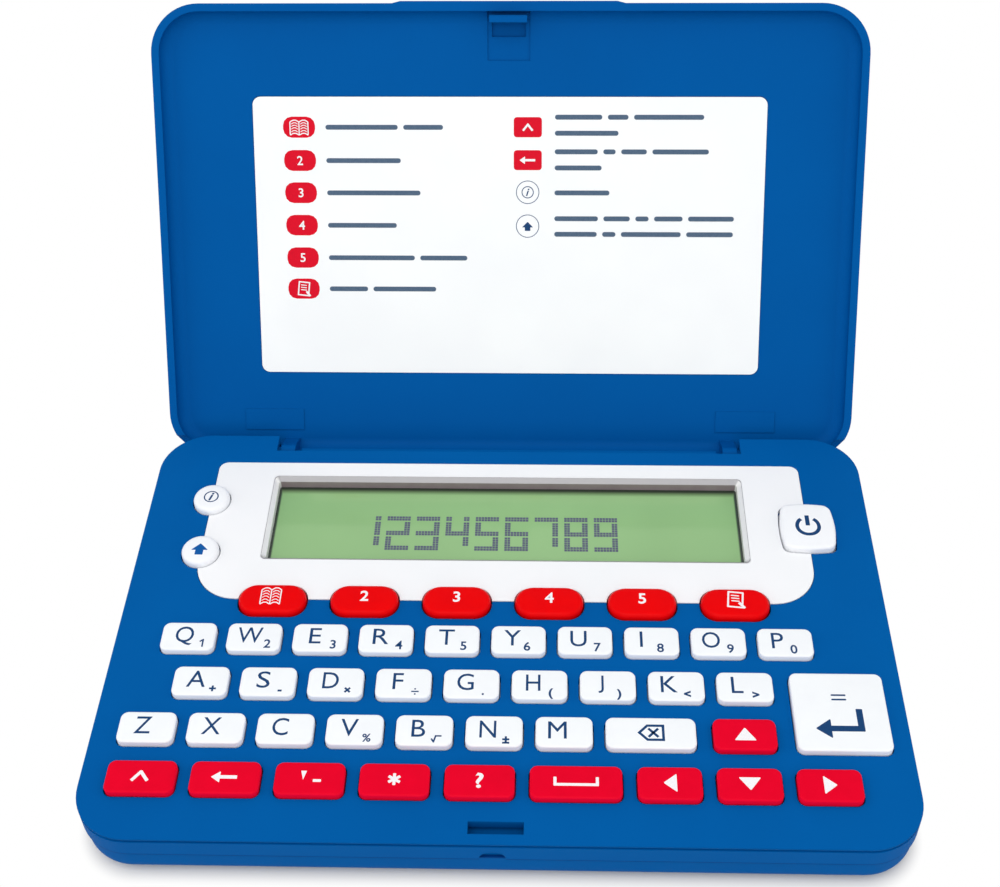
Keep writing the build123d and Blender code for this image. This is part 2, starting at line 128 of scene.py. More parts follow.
class Finish:        # the nodes of one material, or of the world
    def __init__(self, owner):
        owner.use_nodes = True
        self.material = owner
        self.tree = owner.node_tree
        self.shader = self.tree.nodes.get("Principled BSDF")
        self.end = next(node for node in self.tree.nodes if node.type.startswith("OUTPUT"))

    def node(self, kind, settings=None, inputs=None, output=0):
        made = self.tree.nodes.new(kind)
        for setting, value in (settings or {}).items():
            setattr(made, setting, value)
        for socket, value in (inputs or {}).items():
            self.plug(value, made.inputs[socket])
        return Wire(self, made.outputs[output])

    def plug(self, value, socket):
        if isinstance(value, Wire):
            self.tree.links.new(value.socket, socket)
        elif socket.type == "RGBA":
            socket.default_value = (*value, 1)
        else:
            socket.default_value = value

    def feed(self, **inputs):
        for name, value in inputs.items():
            self.plug(value, self.shader.inputs[name.replace("_", " ")])

    def mixed(self, share, first, second):        # two colours: sockets 6 and 7, and output 2
        return self.node("ShaderNodeMix", {"data_type": "RGBA"}, {0: share, 6: first, 7: second}, 2)

    def place(self):
        return self.node("ShaderNodeTexCoord", output="Object")

    def facing(self):
        return self.node("ShaderNodeNewGeometry", output="Normal")

    def rays(self, kind):        # 1 for rays of that kind
        return self.node("ShaderNodeLightPath", output=f"Is {kind} Ray")

    def noise(self, size, detail=2.0, place=None):
        settings = {"Vector": place or self.place(), "Scale": 1 / (size * mm), "Detail": detail}
        return self.node("ShaderNodeTexNoise", inputs=settings)

    def clouds(self, patches, look, low=0.3, high=0.7):        # a colour, with its shade in patches
        return self.mixed(self.steps(patches, low, high), paint(*look["shade"]), paint(*look["colour"]))

    def bump(self, height, depth, **inputs):
        return self.node("ShaderNodeBump", inputs={"Distance": depth * mm, "Height": height, **inputs})

    def steps(self, value, low, high, shape="LINEAR"):
        return self.node("ShaderNodeMapRange", {"interpolation_type": shape},
                         {"Value": value, "From Min": low, "From Max": high})

    def vectors(self, operation, *operands, output=0):
        return self.node("ShaderNodeVectorMath", {"operation": operation}, dict(enumerate(operands)),
                         output)

    def along(self, vector, *axis):
        return self.vectors("DOT_PRODUCT", vector, axis, output="Value")

    def upward(self, low, high):        # 0 on walls, 1 on faces that look up
        return self.steps(self.along(self.facing(), 0, 0, 1), low, high)


def newFinish(name):
    return Finish(bpy.data.materials.new(name))


def paint(*colour):        # a screen colour, 0 to 255, as light
    parts = [part / 255 for part in colour]
    return tuple(((part + 0.055) / 1.055) ** 2.4 if part > 0.04045 else part / 12.92 for part in parts)


# Floor and world

def makeFloor():
    look = {
        "size": 4000,
        "below": 0.05,
        "white": (0.80, 0.785, 0.755),
        "roughness": 0.9,
        "corner": 9.5,                  # how far inside the case's corners the shadow is measured from
        "shade": (8.2, 11.5),           # how far out from there it begins to fade, and has gone
    }
    bpy.ops.object.select_all(action="DESELECT")
    bpy.ops.mesh.primitive_plane_add(size=look["size"] * mm, location=(0, 0, -look["below"] * mm))
    floor = bpy.context.object
    floor.name = "floor"
    finish = newFinish("pale floor")
    finish.feed(Base_Color=look["white"], Roughness=look["roughness"], Specular_IOR_Level=0.0)
    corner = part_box("top_case")[1] - Vector((1, 1, 0)) * look["corner"] * mm
    past = finish.vectors("SUBTRACT", finish.vectors("ABSOLUTE", finish.place()), (corner.x, corner.y, 0))
    away = finish.vectors("LENGTH", finish.vectors("MAXIMUM", past, (0, 0, 0)), output="Value")
    near, far = (reach * mm for reach in look["shade"])
    clear = finish.steps(away, near, far, "SMOOTHSTEP")
    glow = finish.node("ShaderNodeEmission", inputs={"Color": (1, 1, 1), "Strength": 1.0})
    lit = Wire(finish, finish.shader.outputs[0])
    both = finish.node("ShaderNodeMixShader", inputs={0: finish.rays("Camera") * clear, 1: lit, 2: glow})
    finish.plug(both, finish.end.inputs[0])
    floor.data.materials.append(finish.material)


def makeWorld():
    look = {"light": 0.67, "seen": 1.0}        # strengths: on the object, and where it is seen
    world = bpy.data.worlds.new("studio")
    bpy.context.scene.world = world
    finish = Finish(world)
    finish.tree.nodes.remove(finish.tree.nodes["Background"])
    shown = finish.rays("Camera").larger(finish.rays("Glossy").larger(finish.rays("Transmission")))
    light, seen = [finish.node("ShaderNodeBackground", inputs={"Color": (1, 1, 1), "Strength": strength})
                   for strength in (look["light"], look["seen"])]
    both = finish.node("ShaderNodeMixShader", inputs={0: shown, 1: light, 2: seen})
    finish.plug(both, finish.end.inputs[0])


# Finishes

def mouldedPlastic(name, look):
    finish = newFinish(name)
    patches = finish.noise(look["patch"], detail=3)
    grain = finish.noise(look["grain"], detail=3)
    base = finish.clouds(patches, look)
    if "joint" in look:        # dust and painted shade in the line where two halves meet
        away = abs(finish.along(finish.place(), 0, 0, 1) - look["joint"] * mm)
        near, far = (reach * mm for reach in look["reach"])
        base = finish.mixed(finish.steps(away, near, far), paint(*look["dust"]), base)
    # painted light: faces that look sideways take a lighter colour than the top
    if "side" in look:
        base = finish.mixed(finish.upward(*look["upright"]), paint(*look["side"]), base)
    edges = finish.node("ShaderNodeBevel", {"samples": 4}, {"Radius": look["soften"] * mm})
    finish.feed(Base_Color=base, Roughness=look["roughness"] + (patches - 0.5) * look["spread"],
                Normal=finish.bump(grain, look["depth"], Strength=1.0, Normal=edges),
                Coat_Weight=look["coat"], Coat_Roughness=look["coatRoughness"],
                Specular_IOR_Level=look["gloss"])
    return finish.material


def printedCard(name, look):
    finish = newFinish(name)
    fibres = finish.noise(look["fibre"], detail=4)
    finish.feed(Base_Color=finish.clouds(finish.noise(look["patch"]), look),
                Roughness=look["roughness"] + fibres * look["spread"],
                Normal=finish.bump(fibres, look["depth"]),
                Coat_Weight=look["coat"], Coat_Roughness=look["coatRoughness"])
    return finish.material


def brightMetal(name, look):
    finish = newFinish(name)
    brushed = finish.node("ShaderNodeMapping",
                          inputs={"Vector": finish.place(), "Scale": (1, look["stretch"], 1)})
    lines = finish.noise(look["line"], detail=4, place=brushed)
    finish.feed(Base_Color=finish.mixed(lines, paint(*look["shade"]), paint(*look["colour"])),
                Metallic=look["metal"], Roughness=look["roughness"] + lines * look["spread"],
                Normal=finish.bump(lines, look["depth"]))
    return finish.material


def silveredPlastic(name, look):        # painted light by facing: its slope, its wall below darker with painted shade, and its two ends near white with a painted highlight
    finish = newFinish(name)
    clouds = finish.noise(look["patch"])
    across = finish.along(finish.vectors("ABSOLUTE", finish.facing()), 1, 0, 0)
    # painted shade: the wall that faces forward is darker than the slope
    front = finish.mixed(finish.upward(*look["upright"]), paint(*look["wall"]), paint(*look["slope"]))
    # painted highlight: the ends that face sideways are near white
    base = finish.mixed(finish.steps(across, *look["sideways"]), front, paint(*look["end"]))
    finish.feed(Base_Color=finish.mixed(clouds * look["cloudy"], base, paint(*look["cloud"])),
                Metallic=look["metal"], Roughness=look["roughness"] + clouds * look["spread"],
                Normal=finish.bump(clouds, look["depth"]))
    return finish.material


def displayGlass(name, look):        # with the shade of the frame round its edge
    finish = newFinish(name)
    cells = finish.noise(look["cell"], detail=1)
    clouds = finish.noise(look["patch"])
    where = finish.place()
    across = finish.along(finish.vectors("ABSOLUTE", where), 1, 0, 0)
    sides = finish.steps(across, *[reach * mm for reach in look["sides"]])
    back = finish.steps(finish.along(where, 0, 1, 0), *[reach * mm for reach in look["back"]])
    base = finish.mixed(sides.larger(back), finish.clouds(clouds, look), paint(*look["dark"]))
    finish.feed(Base_Color=base, Roughness=look["roughness"] + clouds * look["spread"],
                Normal=finish.bump(cells, look["depth"]),
                Coat_Weight=look["coat"], Coat_Roughness=look["coatRoughness"])
    return finish.material


def ink(name, look):
    finish = newFinish(name)
    specks = finish.noise(look["speck"], detail=3)
    finish.feed(Base_Color=finish.clouds(specks, look, 0.35, 0.65),
                Roughness=look["roughness"] + specks * look["spread"], Specular_IOR_Level=look["gloss"])
    return finish.material


# colours are 0 to 255, patches, grain, depths and rounding are in mm
allPlastics = {"soften": 0.05, "spread": 0.08, "coat": 0.0, "coatRoughness": 0.2, "upright": (0.2, 0.9)}
plastics = {
    "case blue": {"colour": (0, 90, 162), "shade": (0, 87, 158), "patch": 22, "grain": 0.16,
                  "depth": 0.006, "soften": 0.22, "roughness": 0.5, "spread": 0.1, "gloss": 0.02,
                  # a darker band at the joint: dust and painted shade
                  "joint": 6.42, "reach": (0.12, 0.34), "dust": (0, 64, 132)},
    "lid blue": {"colour": (0, 86, 159), "shade": (0, 83, 155), "patch": 30, "grain": 0.12,
                 "depth": 0.004, "soften": 0.22, "roughness": 0.46, "spread": 0.12, "gloss": 0.02},
    "fascia white": {"colour": (244, 245, 247), "shade": (241, 243, 245), "patch": 14, "grain": 0.1,
                     "depth": 0.001, "soften": 0.15, "roughness": 0.3, "spread": 0.06, "coat": 0.1,
                     "gloss": 0.35},
    # the keys' side colours are painted light: lighter than their tops
    "key white": {"colour": (243, 246, 248), "shade": (240, 243, 246), "side": (252, 253, 254),
                  "patch": 4, "grain": 0.09, "depth": 0.002, "roughness": 0.42, "gloss": 0.4},
    "soft white": {"colour": (244, 246, 249), "shade": (242, 244, 247), "patch": 4, "grain": 0.09,
                   "depth": 0.001, "soften": 0.3, "roughness": 0.4, "gloss": 0.3},
    "key red": {"colour": (230, 0, 40), "shade": (224, 0, 38), "side": (255, 8, 52), "patch": 4,
                "grain": 0.09, "depth": 0.002, "roughness": 0.42, "gloss": 0.04},
    "key bright red": {"colour": (234, 0, 4), "shade": (228, 0, 6), "patch": 4, "grain": 0.09,
                       "depth": 0.002, "roughness": 0.36, "gloss": 0.05},
    "mat rubber": {"colour": (205, 205, 200), "shade": (190, 190, 186), "patch": 6, "grain": 0.2,
                   "depth": 0.004, "roughness": 0.6, "spread": 0.1, "gloss": 0.3},
    "board green": {"colour": (24, 92, 52), "shade": (16, 76, 42), "patch": 3, "grain": 0.3,
                    "depth": 0.006, "roughness": 0.4, "spread": 0.1, "coat": 0.2, "gloss": 0.5},
}
allMetals = {"stretch": 0.1, "depth": 0.001, "spread": 0.12, "metal": 1.0}
metals = {
    "cell steel": {"colour": (205, 206, 208), "shade": (168, 170, 172), "line": 0.4, "roughness": 0.24},
    "contact brass": {"colour": (206, 176, 104), "shade": (176, 146, 80), "line": 0.3, "roughness": 0.28},
    "screw steel": {"colour": (168, 168, 170), "shade": (120, 120, 124), "line": 0.2, "stretch": 0.3,
                    "roughness": 0.34},
}
allInks = {"roughness": 0.42, "spread": 0.1, "gloss": 0.12}
inks = {
    "ink blue": {"colour": (14, 58, 106), "shade": (22, 66, 112), "speck": 0.25},
    "ink bright blue": {"colour": (0, 84, 158), "shade": (4, 88, 160), "speck": 0.25},
    "ink white": {"colour": (246, 244, 246), "shade": (238, 236, 240), "speck": 0.25},
    "ink red": {"colour": (218, 0, 36), "shade": (210, 0, 36), "speck": 0.4},
    "ink grey": {"colour": (72, 94, 118), "shade": (84, 104, 126), "speck": 0.3},
    "pixel grey": {"colour": (88, 92, 114), "shade": (98, 102, 122), "speck": 0.5},
}
cardWhite = {
    "colour": (244, 247, 248), "shade": (240, 243, 245), "fibre": 0.25, "patch": 18, "depth": 0.002,
    "roughness": 0.42, "spread": 0.1, "coat": 0.3, "coatRoughness": 0.25,
}
bezelSilver = {
    # the wall's colour is painted shade, and the ends' near white is a painted highlight
    "slope": (158, 157, 161), "wall": (140, 124, 130), "end": (250, 250, 250), "cloud": (196, 190, 190),
    "upright": (0.15, 0.6), "sideways": (0.3, 0.7), "cloudy": 0.25, "patch": 2.5, "depth": 0.001,
    "metal": 0.2, "roughness": 0.25, "spread": 0.15,
}
displayGreen = {
    "colour": (142, 187, 124), "shade": (136, 180, 118), "dark": (14, 38, 16),
    "sides": (44.2, 44.5), "back": (31.5, 32.8),        # where the frame's shade starts and is full
    "cell": 0.4, "patch": 20, "depth": 0.002, "roughness": 0.32, "spread": 0.1,
    "coat": 0.6, "coatRoughness": 0.05,
}
finishes = {name: mouldedPlastic(name, {**allPlastics, **look}) for name, look in plastics.items()}
finishes.update({name: brightMetal(name, {**allMetals, **look}) for name, look in metals.items()})
finishes.update({name: ink(name, {**allInks, **look}) for name, look in inks.items()})
finishes["card white"] = printedCard("card white", cardWhite)
finishes["bezel silver"] = silveredPlastic("bezel silver", bezelSilver)
finishes["display green"] = displayGlass("display green", displayGreen)
nodeFinishes = {
    "top_case": "case blue", "bottom_case": "case blue", "battery_door": "case blue",
    "lid_shell": "lid blue", "lid_card": "card white", "display_fascia": "fascia white",
    "display_bezel": "bezel silver", "lcd_panel": "display green", "circuit_board": "board green",
    "keypad_mat": "mat rubber", "coin_cells": "cell steel", "battery_contacts": "contact brass",
    "case_screws": "screw steel",
}
for node, finishName in nodeFinishes.items():
    nodes[node].material_slots[0].material = finishes[finishName]
print("finishes made,", len(finishes))


# Modelling by hand, in code

def alone(thing):        # only this object selected and active
    bpy.ops.object.select_all(action="DESELECT")
    thing.select_set(True)
    bpy.context.view_layer.objects.active = thing
    return thing


def pick(thing, kind, test):        # in edit mode, the faces or edges that pass a test
    bpy.ops.mesh.select_mode(type=kind)
    bpy.ops.mesh.select_all(action="DESELECT")
    shape = bmesh.from_edit_mesh(thing.data)
    for part in shape.faces if kind == "FACE" else shape.edges:
        part.select_set(test(part))
    bmesh.update_edit_mesh(thing.data)


def spot(x, y, turn=0.0, z=0.0):        # a place in mm, turned about the upright in degrees
    return Matrix.Translation((x * mm, y * mm, z * mm)) @ Matrix.Rotation(math.radians(turn), 4, "Z")


def settle(thing, matrix):        # a place applied to the mesh
    thing.matrix_world = matrix @ thing.matrix_world
    alone(thing)
    bpy.ops.object.transform_apply(location=True, rotation=True, scale=True)
    return thing


def copied(thing, name):
    twin = thing.copy()
    twin.data = thing.data.copy()
    twin.name = name
    bpy.context.collection.objects.link(twin)
    return twin


def joined(parts, name, rise=0.0015):        # each part stands a hair above the last, so none fight
    for place, part in enumerate(parts):
        settle(part, Matrix.Translation((0, 0, place * rise * mm)))
    alone(parts[0])
    for part in parts[1:]:
        part.select_set(True)
    if len(parts) > 1:
        bpy.ops.object.join()
    whole = bpy.context.object
    whole.name = name
    return whole


def discard(thing):
    bpy.data.objects.remove(thing)


def isUp(face):
    return face.normal.z > 0.9


def isDown(face):
    return face.normal.z < -0.9


def isUpright(edge):
    first, last = edge.verts
    return abs(first.co.z - last.co.z) > 0.9 * edge.calc_length()


def roundedBlock(width, depth, low, high, corner, steps=7):
    bpy.ops.object.select_all(action="DESELECT")
    bpy.ops.mesh.primitive_cube_add(size=1, location=(0, 0, (low + high) / 2 * mm))
    block = bpy.context.object
    block.scale = (width * mm, depth * mm, (high - low) * mm)
    bpy.ops.object.transform_apply(location=True, rotation=True, scale=True)
    bpy.ops.object.mode_set(mode="EDIT")
    pick(block, "EDGE", isUpright)
    bpy.ops.mesh.bevel(offset=corner * mm, segments=steps, affect="EDGES")
    bpy.ops.object.mode_set(mode="OBJECT")
    return block


# Keys

keyLook = {
    "flange": 0.7,              # mm past the cap all round, under the deck
    "flangeThick": 0.6,
    "edge": {"letter": 0.36, "function": 1.05, "round": 0.85, "power": 0.6},        # round the top
    "edgeSteps": 6,
    "flat": 0.04,               # a narrow ring inside it, which keeps the top's shading flat
    "corner": {"letter": 1.3, "function": 3.3, "power": 1.6},
    "pillow": 0.16,             # how far the power key's sides swell
    "pillowCuts": 9,
    "rim": 1.3,                 # mm round the hollow underneath, which clears the mat's plunger
    "hollow": 0.9,
}


def keyKind(name):
    if name.startswith("key_function"):
        return "function"
    if name in ("key_info", "key_shift"):
        return "round"
    return "power" if name == "key_power" else "letter"


def swell(cap, width, depth):        # straight sides pushed out towards a circle, to the same size overall
    alone(cap)
    bpy.ops.object.mode_set(mode="EDIT")
    pick(cap, "EDGE", lambda edge: not isUpright(edge) and edge.calc_length() > depth / 2 * mm)
    bpy.ops.mesh.subdivide(number_cuts=keyLook["pillowCuts"])
    bpy.ops.object.mode_set(mode="OBJECT")
    cast = cap.modifiers.new("swell", "CAST")
    cast.cast_type = "CYLINDER"
    cast.use_z = False
    cast.factor = keyLook["pillow"]
    bpy.ops.object.modifier_apply(modifier=cast.name)
    settle(cap, Matrix.Diagonal((width * mm / cap.dimensions.x, depth * mm / cap.dimensions.y, 1, 1)))


def makeCap(kind, width, depth, low, high):
    seat = low + keyLook["flangeThick"]
    if kind == "round":
        bpy.ops.object.select_all(action="DESELECT")
        bpy.ops.mesh.primitive_cylinder_add(vertices=48, radius=width / 2 * mm, depth=(high - seat) * mm,
                                            location=(0, 0, (high + seat) / 2 * mm))
        cap = bpy.context.object
        bpy.ops.object.transform_apply(location=True)
    else:
        cap = roundedBlock(width, depth, seat, high, keyLook["corner"][kind])
    if kind == "power":
        swell(cap, width, depth)
    bpy.ops.object.mode_set(mode="EDIT")
    pick(cap, "FACE", isUp)
    bpy.ops.mesh.region_to_loop()
    bpy.ops.mesh.bevel(offset=keyLook["edge"][kind] * mm, segments=keyLook["edgeSteps"], affect="EDGES")
    pick(cap, "FACE", isUp)
    bpy.ops.mesh.inset(thickness=keyLook["flat"] * mm)
    pick(cap, "FACE", isDown)
    grow = 2 * keyLook["flange"]
    bpy.ops.mesh.extrude_region_move(TRANSFORM_OT_translate={"value": (0, 0, 0)})
    bpy.ops.transform.resize(value=((width + grow) / width, (depth + grow) / depth, 1))
    bpy.ops.mesh.extrude_region_move(TRANSFORM_OT_translate={"value": (0, 0, (low - seat) * mm)})
    bpy.ops.mesh.inset(thickness=keyLook["rim"] * mm)
    bpy.ops.mesh.extrude_region_move(TRANSFORM_OT_translate={"value": (0, 0, keyLook["hollow"] * mm)})
    bpy.ops.object.mode_set(mode="OBJECT")
    bpy.ops.object.shade_smooth_by_angle(angle=smoothAngle)
    return cap


def keyColour(short):
    if short.startswith("function"):
        return "key bright red"
    if short in ("info", "shift", "power"):
        return "soft white"
    return "key red" if short in redKeys else "key white"


def makeKeys():
    kinds = {}
    for node in keyNodes:
        low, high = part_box(node)
        size = (high - low) / mm
        grow = 2 * keyLook["flange"]
        measures = (keyKind(node), round(size.x - grow, 2), round(size.y - grow, 2))
        if measures not in kinds:
            kinds[measures] = makeCap(*measures, low.z / mm, high.z / mm)
        cap = copied(kinds[measures], node.replace("key_", "keyCap_"))
        settle(cap, Matrix.Translation(((low.x + high.x) / 2, (low.y + high.y) / 2, 0)))
        short = node[len("key_"):]
        cap.data.materials.append(finishes[keyColour(short)])
        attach(cap, node)
        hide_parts(node)
    for master in kinds.values():
        discard(master)
    print("keys made,", len(keyNodes), "from", len(kinds), "kinds")


# Screws: the heads get a cross, as seen from below

screwLook = {
    "arm": 2.3, "width": 0.5, "depth": 0.7, "corner": 0.1,        # mm
    "tip": 0.55,                # the cross's inner end, as a share of its outer one
    "turn": 20,                 # degrees
    "merge": 0.002,             # mm; points nearer than this become one
}


def cutCross(screw):
    look = screwLook
    corners = [Vector(corner) for corner in screw.bound_box]
    middle = (corners[0] + corners[6]) / 2
    for turn in (look["turn"], look["turn"] + 90):
        arm = roundedBlock(look["arm"], look["width"], -look["depth"], look["depth"], look["corner"],
                           steps=2)
        bpy.ops.object.mode_set(mode="EDIT")
        pick(arm, "FACE", isUp)
        bpy.ops.transform.resize(value=(look["tip"], look["tip"], 1))
        bpy.ops.object.mode_set(mode="OBJECT")
        settle(arm, spot(middle.x / mm, middle.y / mm, turn, corners[0].z / mm))
        alone(screw)
        cut = screw.modifiers.new("cross", "BOOLEAN")
        cut.operation = "DIFFERENCE"
        cut.solver = "EXACT"
        cut.object = arm
        bpy.ops.object.modifier_apply(modifier=cut.name)
        discard(arm)


def makeScrews():
    alone(copied(nodes["case_screws"], "screws"))
    bpy.ops.mesh.customdata_custom_splitnormals_clear()
    bpy.ops.object.mode_set(mode="EDIT")
    bpy.ops.mesh.select_all(action="SELECT")
    bpy.ops.mesh.remove_doubles(threshold=screwLook["merge"] * mm)
    bpy.ops.mesh.separate(type="LOOSE")
    bpy.ops.object.mode_set(mode="OBJECT")
    screws = list(bpy.context.selected_objects)
    for screw in screws:
        cutCross(screw)
    whole = joined(screws, "screws", 0)
    bpy.ops.object.shade_smooth_by_angle(angle=smoothAngle)
    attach(whole, "base")
    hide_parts("case_screws")
    print("screws made,", len(screws))


# Printed marks, drawn flat, reading along X with the ink's top upwards

inkLook = {
    "sunk": 0.03, "proud": 0.012,               # mm below and above the surface
    "capHeight": 0.682, "merge": 0.0005,        # at the font's size 1
    "curveSteps": 4,
}
inkThick = inkLook["sunk"] + inkLook["proud"]
inkLift = (inkLook["proud"] - inkLook["sunk"]) / 2        # of its middle from the surface


def glyph(text, x, y, size, weight=0.0, lean=0.0, onLine=False, wide=1.0):
    scale = size / inkLook["capHeight"] * mm
    bpy.ops.object.select_all(action="DESELECT")
    bpy.ops.object.text_add()
    words = bpy.context.object
    words.data.body = text
    words.data.offset = weight
    words.data.shear = lean
    words.data.resolution_u = inkLook["curveSteps"]
    words.data.extrude = inkThick / 2 * mm / scale
    bpy.ops.object.convert(target="MESH")
    made = bpy.context.object
    bpy.ops.object.mode_set(mode="EDIT")
    bpy.ops.mesh.select_all(action="SELECT")
    bpy.ops.mesh.remove_doubles(threshold=inkLook["merge"])
    bpy.ops.object.mode_set(mode="OBJECT")
    xs = [corner.co.x for corner in made.data.vertices]
    ys = [corner.co.y for corner in made.data.vertices]
    middle = Vector(((min(xs) + max(xs)) / 2, 0 if onLine else (min(ys) + max(ys)) / 2, 0))
    sized = Matrix.Diagonal((scale * wide, scale, scale, 1)) @ Matrix.Translation(-middle)
    return settle(made, spot(x, y, 0, inkLift) @ sized)


def bar(x, y, width, height, turn=0.0, corner=0.1):
    corner = min(corner, width / 2.2, height / 2.2)        # a little under half of it
    made = roundedBlock(width, height, -inkLook["sunk"], inkLook["proud"], corner, steps=3)
    return settle(made, spot(x, y, turn))


def wedge(x, y, width, height, turn=0.0):        # a triangle, pointing up before it is turned
    wide, tall, corner = 1.732, 1.5, 0.12        # of a triangle in a circle of radius 1
    bpy.ops.object.select_all(action="DESELECT")
    bpy.ops.mesh.primitive_cylinder_add(vertices=3, radius=1, depth=1)
    made = bpy.context.object
    bpy.ops.object.mode_set(mode="EDIT")
    pick(made, "EDGE", isUpright)
    bpy.ops.mesh.bevel(offset=corner, segments=3, affect="EDGES")
    bpy.ops.object.mode_set(mode="OBJECT")
    scale = Matrix.Diagonal((width / wide * mm, height / tall * mm, inkThick * mm, 1))
    centred = spot(0, -height / 6)        # from the circle's middle to its own
    return settle(made, spot(x, y, turn, inkLift) @ centred @ scale)


def ring(x, y, radius, line):
    bpy.ops.object.select_all(action="DESELECT")
    bpy.ops.mesh.primitive_cylinder_add(vertices=40, radius=radius * mm, depth=inkThick * mm,
                                        location=(x * mm, y * mm, inkLift * mm))
    made = bpy.context.object
    bpy.ops.object.transform_apply(location=True)
    bpy.ops.object.mode_set(mode="EDIT")
    pick(made, "FACE", lambda face: isUp(face) or isDown(face))
    bpy.ops.mesh.inset(thickness=line * mm, use_individual=True)
    bpy.ops.mesh.bridge_edge_loops()
    bpy.ops.object.mode_set(mode="OBJECT")
    return made


def frameOf(x, y, width, height, line, turn=0.0):        # an outlined box of four bars
    sides = [(0, height / 2, width + line, line), (0, -height / 2, width + line, line),
             (-width / 2, 0, line, height), (width / 2, 0, line, height)]
    spin = Matrix.Rotation(math.radians(turn), 2)
    parts = []
    for dx, dy, w, h in sides:
        at = spin @ Vector((dx, dy))
        parts.append(bar(x + at.x, y + at.y, w, h, turn, line / 3))
    return parts


def arch(x, y, width, rise, line):        # three short bars bent like the top of a page
    slope = math.degrees(math.atan2(rise, width / 3))
    length = math.hypot(width / 3, rise) + line / 2
    return [bar(x - width / 3, y - rise / 2, length, line, slope),
            bar(x, y, width / 3 + line / 2, line),
            bar(x + width / 3, y - rise / 2, length, line, -slope)]


# rows, columns and sizes as shares of the mark's own width and height
bookLook = {
    "line": 0.06, "edges": (-0.44, 0.5), "edge": 0.47, "rise": 0.12, "columns": (-0.49, 0, 0.49),
    "upright": 0.95, "drop": 0.09, "text": (-0.24, -0.04, 0.14, 0.32), "words": 0.34, "fine": 0.7,
}
pageLook = {
    "sheet": (0.86, 0.88), "line": 0.11, "text": (-0.08, 0.08, 0.24), "words": (0.5, 0.06), "turn": -6,
    "pen": (0.36, -0.34), "penSize": (0.17, 0.42), "penTurn": 38,
}


def bookMark(x, y, width, height):        # two arched pages of lines
    look = bookLook
    line, rise = width * look["line"], height * look["rise"]
    parts = []
    for side in (-1, 1):
        middle = x + side * width / 4
        for row in look["edges"]:
            parts += arch(middle, y + row * height, width * look["edge"], rise, line)
        for row in look["text"]:
            parts += arch(middle, y + row * height, width * look["words"], rise * 0.8, line * look["fine"])
    for column in look["columns"]:
        parts.append(bar(x + column * width, y - look["drop"] * height, line, height * look["upright"]))
    return parts


def pageMark(x, y, width, height):        # a sheet and a pen
    look = pageLook
    sheet, words, pen = [(across * width, down * height) for across, down in
                         (look["sheet"], look["words"], look["penSize"])]
    parts = frameOf(x, y, *sheet, width * look["line"], look["turn"])
    parts += [bar(x, y + row * height, *words, look["turn"]) for row in look["text"]]
    place = (x + look["pen"][0] * width, y + look["pen"][1] * height)
    return [*parts, bar(*place, *pen, look["penTurn"])]


# signs and arrows that the font has no good shape for, as shares of their size: the corners of their
# strokes, or bars that are each so far across and up, wide and tall
signLook = {
    "1": {"corners": ((-0.18, 0.7), (0.1, 0.92), (0.1, 0.08)), "line": 0.16},
    "√": {"corners": ((-0.52, 0.44), (-0.28, 0.06), (-0.06, 0.86), (0.55, 0.86)), "line": 0.19},
    ".": ((0, 0.16, 0.24, 0.26),),
    "÷": ((0, 0.42, 0.9, 0.17), (0, 0.06, 0.2, 0.2), (0, 0.78, 0.2, 0.2)),
    "return": ((0.06, -0.16, 0.86, 0.15), (0.42, 0.07, 0.15, 0.6)),
    "returnHead": (-0.44, -0.16, 0.52, 0.36),
    "back": ((0.12, 0, 0.74, 0.15),),
    "backHead": (-0.36, 0, 0.5, 0.36),
}


def strokesOf(name, x, y, size):        # a run of strokes from corner to corner
    corners = [Vector(corner) * size for corner in signLook[name]["corners"]]
    line = signLook[name]["line"] * size
    parts = []
    for start, end in zip(corners, corners[1:]):
        run, middle = end - start, (start + end) / 2
        turn = math.degrees(math.atan2(run.y, run.x))
        parts.append(bar(x + middle.x, y + middle.y, run.length + line * 0.7, line, turn, 0.02))
    return parts


def barsOf(name, x, y, size):
    return [bar(x + across * size, y + up * size, wide * size, tall * size)
            for across, up, wide, tall in signLook[name]]


def arrowOf(name, x, y, size):        # its bars, and a head that points left
    across, up, wide, tall = [share * size for share in signLook[name + "Head"]]
    return [*barsOf(name, x, y, size), wedge(x + across, y + up, wide, tall, 90)]


marksLook = {        # mm from the middle of the key
    "letter": {"size": 3.34, "dx": -1.05, "dy": -1.36, "weight": 0.0},
    "digit": {"size": 1.75, "dx": 2.25, "dy": -2.4, "weight": 0.016},
    "sign": {"size": 1.45, "dx": 2.0, "dy": -2.4, "weight": 0.042},
    "percent": 0.02,        # its rings close up at more weight
    "seconds": dict(zip("qwertyuiopasdfghjklvbn", "1234567890+-×÷.()<>%√±")),        # small marks
    "nudged": {"y": -0.7, "i": -0.6, "p": -0.6, "t": -0.25},        # those set nearer the left
    "wide": {"w": 0.87, "q": 0.9, "o": 0.88, "d": 0.9, "c": 0.9, "g": 0.94, "n": 0.9, "h": 0.88,
             "z": 0.9, "x": 0.92, "s": 1.2, "r": 1.08, "e": 1.06},
    "moved": {"i": (-0.6, 0), "j": (0, 0.62)},        # letters set further across and up
    "small": {"j": 0.8},        # the font's J hangs below the line
    "spread": 0.993,            # the print runs a little narrower than the keys
}


